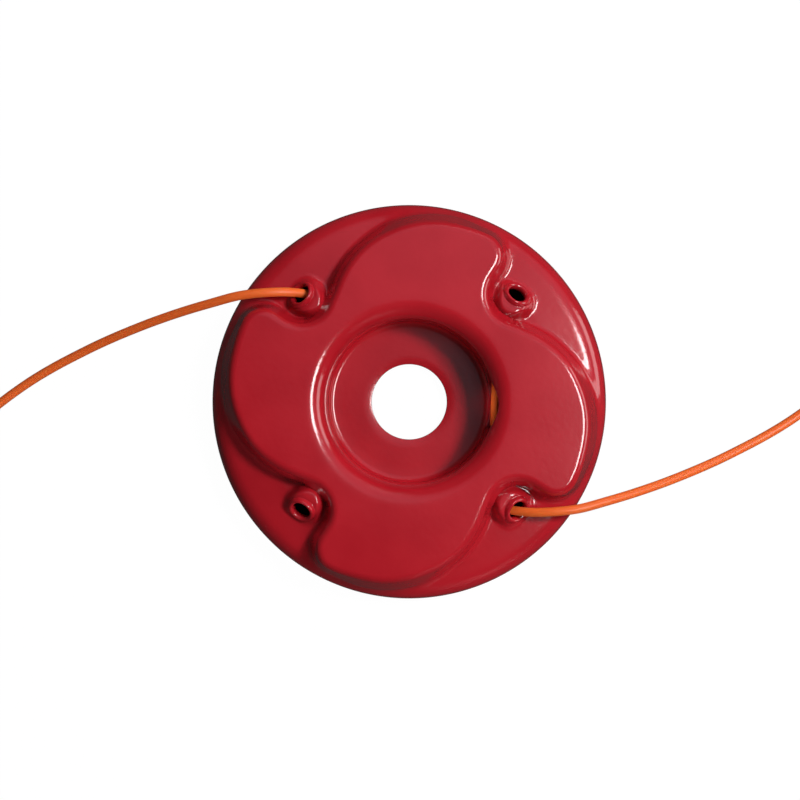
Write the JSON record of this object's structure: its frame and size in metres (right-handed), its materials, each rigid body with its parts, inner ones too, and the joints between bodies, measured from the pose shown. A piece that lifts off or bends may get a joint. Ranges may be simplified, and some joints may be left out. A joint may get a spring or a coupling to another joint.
{
  "type": "trimmer head",
  "caption": "Pressed steel line head for a brush cutter: a cupped hub with a bore, spiral line pockets in a round skirt, and nylon cutting lines out of its sides.",
  "frame": {"origin": "centre of the bore's axis, in the plane of the skirt's edge", "axes": "+Z along the bore out of the cup's mouth, towards the ground side of the head; +X and +Y along the plane of the skirt's edge, with the lines leaving the head towards -X and +X"},
  "size_m": [0.2868, 0.132, 0.021],
  "materials": {
    "red_enamel": "glossy stoved enamel on pressed steel",
    "orange_nylon": "extruded nylon line, satin"
  },
  "bodies": {
    "root": {"shell": "red_enamel", "line_left": "orange_nylon", "line_right": "orange_nylon"}
  },
  "joints": []
}
